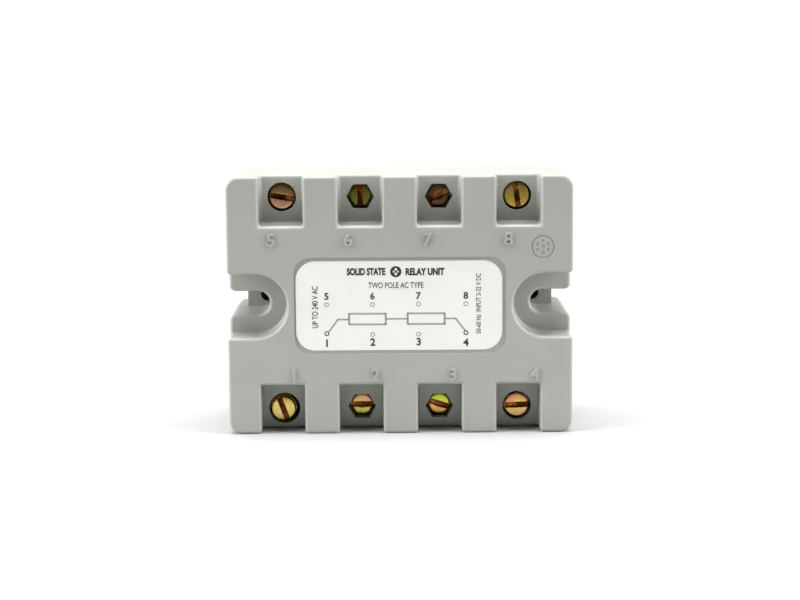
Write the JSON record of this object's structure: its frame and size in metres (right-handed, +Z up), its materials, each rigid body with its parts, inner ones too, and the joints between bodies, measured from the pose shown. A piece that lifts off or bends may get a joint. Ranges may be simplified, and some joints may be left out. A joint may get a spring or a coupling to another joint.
{
  "type": "solid state relay",
  "caption": "Panel mounted solid state relay block with recessed slotted terminal screws along both long edges and a mounting slot at each end.",
  "frame": {"origin": "under the middle of the case, on the surface it stands on", "axes": "+X across the width, +Y from the labelled front face to the base plate, +Z up"},
  "size_m": [0.1016, 0.0446, 0.0762],
  "materials": {
    "case_moulding": "moulded grey plastic, fine satin",
    "base_plate": "rolled and tumbled",
    "label": "printed, matt",
    "zinc_yellow": "zinc plated, yellow chromate",
    "brass_post": "turned",
    "board": "solder mask on glass epoxy",
    "moulded_epoxy": "transfer moulded epoxy",
    "ceramic_insulator": "as fired alumina",
    "film_capacitor": "boxed, epoxy filled",
    "varistor_coat": "dipped epoxy",
    "resistor_coat": "cement coating",
    "capacitor_sleeve": "shrink sleeve"
  },
  "bodies": {
    "root": {"front_cover": "case_moulding", "rear_housing": "case_moulding", "base_plate": "base_plate", "label": "label", "mount_bushing_left": "zinc_yellow", "mount_bushing_right": "zinc_yellow", "case_screws": "zinc_yellow", "terminal_post_1": "brass_post", "terminal_post_2": "brass_post", "terminal_post_3": "brass_post", "terminal_post_4": "brass_post", "terminal_post_5": "brass_post", "terminal_post_6": "brass_post", "terminal_post_7": "brass_post", "terminal_post_8": "brass_post", "circuit_board": "board", "board_pillars": "brass_post", "board_screws": "zinc_yellow", "device_screws": "zinc_yellow", "thyristor_left": "moulded_epoxy", "thyristor_right": "moulded_epoxy", "optocoupler_left": "moulded_epoxy", "optocoupler_right": "moulded_epoxy", "bridge_rectifier": "moulded_epoxy", "trigger_transistors": "moulded_epoxy", "insulator_left": "ceramic_insulator", "insulator_right": "ceramic_insulator", "snubber_capacitor_left": "film_capacitor", "snubber_capacitor_right": "film_capacitor", "varistor_left": "varistor_coat", "varistor_right": "varistor_coat", "snubber_resistors": "resistor_coat", "control_resistors": "resistor_coat", "smoothing_capacitor": "capacitor_sleeve"},
    "washer_1": {"clamp_washer_1": "zinc_yellow"},
    "screw_1": {"terminal_screw_1": "zinc_yellow"},
    "washer_2": {"clamp_washer_2": "zinc_yellow"},
    "screw_2": {"terminal_screw_2": "zinc_yellow"},
    "washer_3": {"clamp_washer_3": "zinc_yellow"},
    "screw_3": {"terminal_screw_3": "zinc_yellow"},
    "washer_4": {"clamp_washer_4": "zinc_yellow"},
    "screw_4": {"terminal_screw_4": "zinc_yellow"},
    "washer_5": {"clamp_washer_5": "zinc_yellow"},
    "screw_5": {"terminal_screw_5": "zinc_yellow"},
    "washer_6": {"clamp_washer_6": "zinc_yellow"},
    "screw_6": {"terminal_screw_6": "zinc_yellow"},
    "washer_7": {"clamp_washer_7": "zinc_yellow"},
    "screw_7": {"terminal_screw_7": "zinc_yellow"},
    "washer_8": {"clamp_washer_8": "zinc_yellow"},
    "screw_8": {"terminal_screw_8": "zinc_yellow"}
  },
  "joints": [
    {"name": "screw_1_lift", "type": "slide", "parent": "root", "child": "washer_1", "axis": [0, -1, 0], "range_m": [0, 0.00417]},
    {"name": "screw_1_turn", "type": "hinge", "parent": "washer_1", "child": "screw_1", "pos_m": [-0.03525, -0.01275, 0.0059], "axis": [0, -1, 0], "range_deg": [0, 1890]},
    {"name": "screw_2_lift", "type": "slide", "parent": "root", "child": "washer_2", "axis": [0, -1, 0], "range_m": [0, 0.00417]},
    {"name": "screw_2_turn", "type": "hinge", "parent": "washer_2", "child": "screw_2", "pos_m": [-0.0116, -0.01015, 0.0066], "axis": [0, -1, 0], "range_deg": [0, 1890]},
    {"name": "screw_3_lift", "type": "slide", "parent": "root", "child": "washer_3", "axis": [0, -1, 0], "range_m": [0, 0.00417]},
    {"name": "screw_3_turn", "type": "hinge", "parent": "washer_3", "child": "screw_3", "pos_m": [0.0116, -0.01015, 0.0066], "axis": [0, -1, 0], "range_deg": [0, 1890]},
    {"name": "screw_4_lift", "type": "slide", "parent": "root", "child": "washer_4", "axis": [0, -1, 0], "range_m": [0, 0.00417]},
    {"name": "screw_4_turn", "type": "hinge", "parent": "washer_4", "child": "screw_4", "pos_m": [0.0348, -0.01275, 0.0066], "axis": [0, -1, 0], "range_deg": [0, 1890]},
    {"name": "screw_5_lift", "type": "slide", "parent": "root", "child": "washer_5", "axis": [0, -1, 0], "range_m": [0, 0.00417]},
    {"name": "screw_5_turn", "type": "hinge", "parent": "washer_5", "child": "screw_5", "pos_m": [-0.0348, -0.01275, 0.0696], "axis": [0, -1, 0], "range_deg": [0, 1890]},
    {"name": "screw_6_lift", "type": "slide", "parent": "root", "child": "washer_6", "axis": [0, -1, 0], "range_m": [0, 0.00417]},
    {"name": "screw_6_turn", "type": "hinge", "parent": "washer_6", "child": "screw_6", "pos_m": [-0.0116, -0.01015, 0.0696], "axis": [0, -1, 0], "range_deg": [0, 1890]},
    {"name": "screw_7_lift", "type": "slide", "parent": "root", "child": "washer_7", "axis": [0, -1, 0], "range_m": [0, 0.00417]},
    {"name": "screw_7_turn", "type": "hinge", "parent": "washer_7", "child": "screw_7", "pos_m": [0.0116, -0.01015, 0.0696], "axis": [0, -1, 0], "range_deg": [0, 1890]},
    {"name": "screw_8_lift", "type": "slide", "parent": "root", "child": "washer_8", "axis": [0, -1, 0], "range_m": [0, 0.00417]},
    {"name": "screw_8_turn", "type": "hinge", "parent": "washer_8", "child": "screw_8", "pos_m": [0.0348, -0.01275, 0.0696], "axis": [0, -1, 0], "range_deg": [0, 1890]}
  ],
  "couplings": [
    {"joint": "screw_1_turn", "follows": "screw_1_lift", "rad_per_m": 7913.3},
    {"joint": "screw_2_turn", "follows": "screw_2_lift", "rad_per_m": 7913.3},
    {"joint": "screw_3_turn", "follows": "screw_3_lift", "rad_per_m": 7913.3},
    {"joint": "screw_4_turn", "follows": "screw_4_lift", "rad_per_m": 7913.3},
    {"joint": "screw_5_turn", "follows": "screw_5_lift", "rad_per_m": 7913.3},
    {"joint": "screw_6_turn", "follows": "screw_6_lift", "rad_per_m": 7913.3},
    {"joint": "screw_7_turn", "follows": "screw_7_lift", "rad_per_m": 7913.3},
    {"joint": "screw_8_turn", "follows": "screw_8_lift", "rad_per_m": 7913.3}
  ]
}
